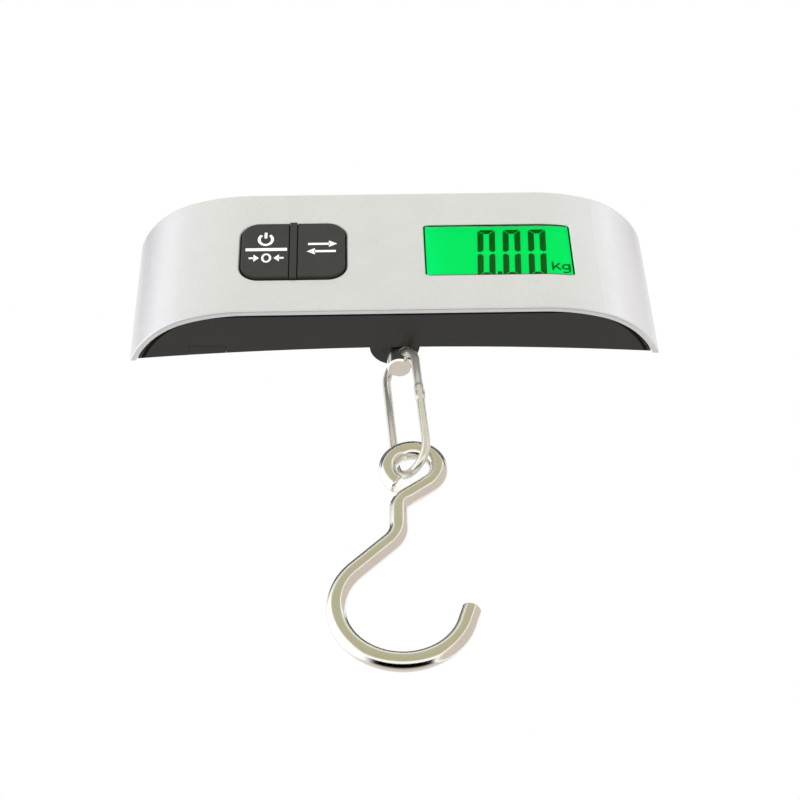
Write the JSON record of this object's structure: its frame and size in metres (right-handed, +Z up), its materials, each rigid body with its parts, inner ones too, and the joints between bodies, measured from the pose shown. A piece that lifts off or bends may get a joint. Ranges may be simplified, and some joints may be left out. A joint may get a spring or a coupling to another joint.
{
  "type": "digital luggage scale",
  "caption": "Hand-held digital luggage scale: long D-section body with backlit display and two keys, a swivelling load rod, a chain link and a round-bowed hook.",
  "frame": {"origin": "middle of the grip: half length, half height, on the line joining the two rear corners of the body", "axes": "+X along the body to the display end, +Z up in use with the hook hanging towards -Z, -Y the display side"},
  "size_m": [0.1284, 0.0232, 0.1347],
  "materials": {
    "silver_cover": "satin silver lacquer on moulded plastic",
    "black_plastic": "fine matt black",
    "dark_plastic": "matt",
    "steel": "bright",
    "lens": "clear, polished",
    "lcd": "green backlit",
    "light_guide": "clear acrylic",
    "white_plastic": "gloss",
    "dark_rubber": "matt",
    "board": "green solder resist",
    "chip_parts": "matt",
    "key_rubber": "matt dark grey",
    "aluminium": "machined",
    "gauge_foil": "amber film",
    "wire_red": "insulated wire",
    "nickel": "nickel plated"
  },
  "bodies": {
    "case": {"front_cover": "silver_cover", "rear_housing": "black_plastic", "battery_holder": "dark_plastic", "coin_cell": "steel", "battery_negative_contact": "steel", "battery_positive_contact": "steel", "display_lens": "lens", "lcd_glass": "lcd", "lcd_backlight": "light_guide", "backlight_leds": "white_plastic", "lcd_frame": "dark_plastic", "zebra_strips": "dark_rubber", "circuit_board": "board", "controller_chip": "black_plastic", "converter_chip": "black_plastic", "board_parts": "chip_parts", "power_switch": "steel", "unit_switch": "steel", "key_surround": "dark_plastic", "load_cell": "aluminium", "load_cell_screws": "steel", "strain_gauges": "gauge_foil", "gauge_leads": "wire_red", "load_bracket": "steel", "bracket_screws": "steel", "rod_washer": "steel", "rod_bushing": "dark_plastic", "case_screws": "steel"},
    "battery_door": {"battery_door": "black_plastic"},
    "power_key": {"power_key": "key_rubber"},
    "unit_key": {"unit_key": "key_rubber"},
    "rod": {"load_rod": "nickel", "rod_nut": "steel"},
    "link": {"link": "nickel"},
    "hook": {"hook": "nickel"}
  },
  "joints": [
    {"name": "power_key_press", "type": "slide", "parent": "case", "child": "power_key", "axis": [0, 1, 0], "range_m": [0, 0.0005], "stiffness_N_per_m": 800},
    {"name": "unit_key_press", "type": "slide", "parent": "case", "child": "unit_key", "axis": [0, 1, 0], "range_m": [0, 0.0005], "stiffness_N_per_m": 800},
    {"name": "battery_door_hinge", "type": "hinge", "parent": "case", "child": "battery_door", "pos_m": [-0.0445, -0.0005, 0.0122], "axis": [1, 0, 0], "range_deg": [0, 70]},
    {"name": "rod_swivel", "type": "hinge", "parent": "case", "child": "rod", "pos_m": [0.001, 0.0006, -0.0205], "axis": [0, 0, 1], "continuous": true},
    {"name": "link_swing", "type": "hinge", "parent": "rod", "child": "link", "pos_m": [0.001, 0.0006, -0.02175], "axis": [0.6428, -0.766, 0], "range_deg": [-40, 60]},
    {"name": "hook_swing", "type": "hinge", "parent": "link", "child": "hook", "pos_m": [0.00322, 0.0006, -0.05758], "axis": [0, 1, 0], "range_deg": [-35, 35]}
  ]
}
